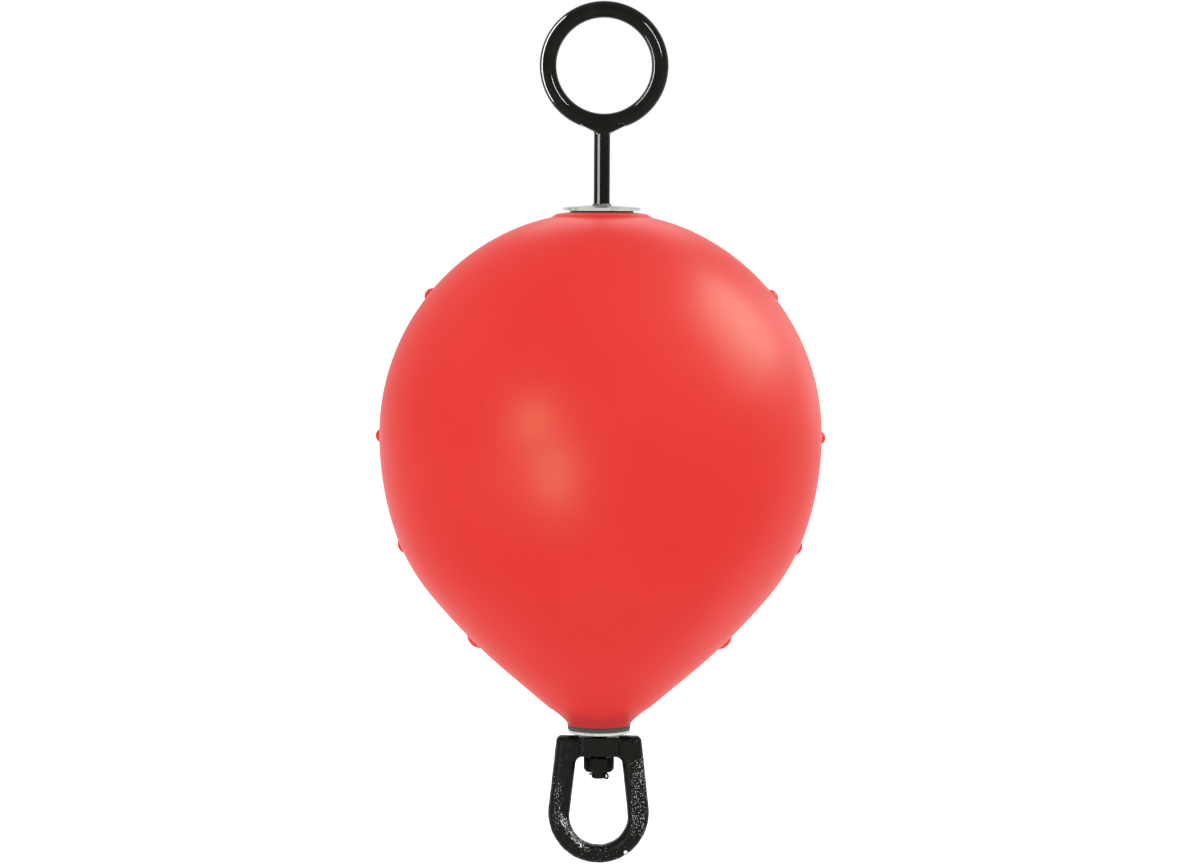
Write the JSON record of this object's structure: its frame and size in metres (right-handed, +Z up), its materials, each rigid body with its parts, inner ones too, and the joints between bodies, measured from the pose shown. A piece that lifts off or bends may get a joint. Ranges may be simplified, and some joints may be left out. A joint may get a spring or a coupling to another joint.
{
  "type": "mooring buoy",
  "caption": "Pear-shaped plastic mooring buoy on a steel through rod, with a fixed ring on top for a boat's line and a swivel link below for the ground chain.",
  "frame": {"origin": "on the rod's axis at the hull's widest section, where the buoy floats when its ground chain is on; the middle knobs are 2 mm below it", "axes": "+Z up along the rod; the top ring and the swivel link at rest lie in the XZ plane, and the hull's mould joint runs through +X and -X"},
  "size_m": [0.4072, 0.3999, 0.7811],
  "materials": {
    "hull_red": "satin rotationally moulded polyethylene",
    "black_paint": "thick glossy black dip paint",
    "link_paint": "black paint over a rough casting, half gloss",
    "bright_steel": "zinc plated, slightly dull",
    "black_rubber": "matt"
  },
  "bodies": {
    "buoy": {"float_body": "hull_red", "top_ring": "black_paint", "through_rod": "black_paint", "ring_weld": "black_paint", "washer_weld": "bright_steel", "top_washer": "bright_steel", "top_gasket": "black_rubber", "bottom_gasket": "black_rubber", "bottom_washer": "bright_steel", "end_nut": "link_paint", "split_pin": "link_paint"},
    "link": {"swivel_link": "link_paint"}
  },
  "joints": [
    {"name": "link_swivel", "type": "hinge", "parent": "buoy", "child": "link", "pos_m": [0, 0, -0.2842], "axis": [0, 0, 1], "continuous": true}
  ]
}
